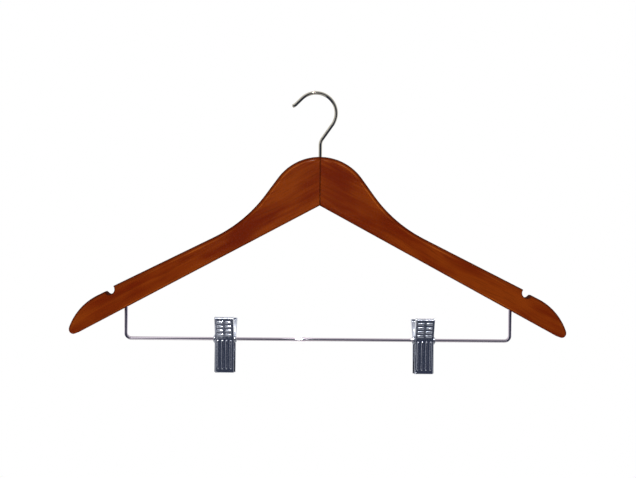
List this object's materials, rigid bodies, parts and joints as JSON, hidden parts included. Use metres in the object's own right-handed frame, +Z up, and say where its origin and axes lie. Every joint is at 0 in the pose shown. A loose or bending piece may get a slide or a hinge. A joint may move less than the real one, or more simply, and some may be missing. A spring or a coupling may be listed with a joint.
{
  "type": "skirt hanger",
  "caption": "Flat wooden skirt hanger with a swivelling wire hook, strap notches and a wire bar that carries sliding spring clips.",
  "frame": {"origin": "inside of the hook, where it bears on the rail, on the axis that the hook swivels about", "axes": "+X along the arms, to the right in the picture, +Y from front to back, +Z up"},
  "size_m": [0.4448, 0.0267, 0.2535],
  "materials": {
    "stained_wood": "satin lacquer over a red-brown stain",
    "chrome_wire": "bright plated wire",
    "zinc_steel": "zinc plated",
    "plated_sheet": "bright plated pressed sheet",
    "bright_rivet": "bright plated",
    "spring_wire": "drawn spring wire",
    "grip_rubber": "matt"
  },
  "bodies": {
    "hook": {"swivel_hook": "chrome_wire"},
    "frame": {"left_arm": "stained_wood", "right_arm": "stained_wood", "hook_washer": "zinc_steel", "clip_bar": "chrome_wire"},
    "left_sleeve": {"left_clip_sleeve": "bright_rivet"},
    "left_rear": {"left_clip_rear_jaw": "plated_sheet", "left_clip_rear_pad": "grip_rubber", "left_clip_spring": "spring_wire"},
    "left_front": {"left_clip_front_jaw": "plated_sheet", "left_clip_front_pad": "grip_rubber"},
    "right_sleeve": {"right_clip_sleeve": "bright_rivet"},
    "right_rear": {"right_clip_rear_jaw": "plated_sheet", "right_clip_rear_pad": "grip_rubber", "right_clip_spring": "spring_wire"},
    "right_front": {"right_clip_front_jaw": "plated_sheet", "right_clip_front_pad": "grip_rubber"}
  },
  "joints": [
    {"name": "hook_swivel", "type": "hinge", "parent": "hook", "child": "frame", "pos_m": [0, 0, -0.0559], "axis": [0, 0, 1], "continuous": true},
    {"name": "left_clip_slide", "type": "slide", "parent": "frame", "child": "left_sleeve", "axis": [1, 0, 0], "range_m": [-0.073, 0.0726]},
    {"name": "left_clip_swing", "type": "hinge", "parent": "left_sleeve", "child": "left_rear", "pos_m": [-0.0837, 0, -0.21976], "axis": [1, 0, 0], "continuous": true},
    {"name": "left_clip_open", "type": "hinge", "parent": "left_rear", "child": "left_front", "pos_m": [-0.0837, 0, -0.21976], "axis": [-1, 0, 0], "range_deg": [0, 36], "stiffness_Nm_per_rad": 0.15, "springref_deg": -34.38, "deforming": ["left_clip_spring"]},
    {"name": "right_clip_slide", "type": "slide", "parent": "frame", "child": "right_sleeve", "axis": [1, 0, 0], "range_m": [-0.0834, 0.0622]},
    {"name": "right_clip_swing", "type": "hinge", "parent": "right_sleeve", "child": "right_rear", "pos_m": [0.0945, 0, -0.21976], "axis": [1, 0, 0], "continuous": true},
    {"name": "right_clip_open", "type": "hinge", "parent": "right_rear", "child": "right_front", "pos_m": [0.0945, 0, -0.21976], "axis": [-1, 0, 0], "range_deg": [0, 36], "stiffness_Nm_per_rad": 0.15, "springref_deg": -34.38, "deforming": ["right_clip_spring"]}
  ]
}
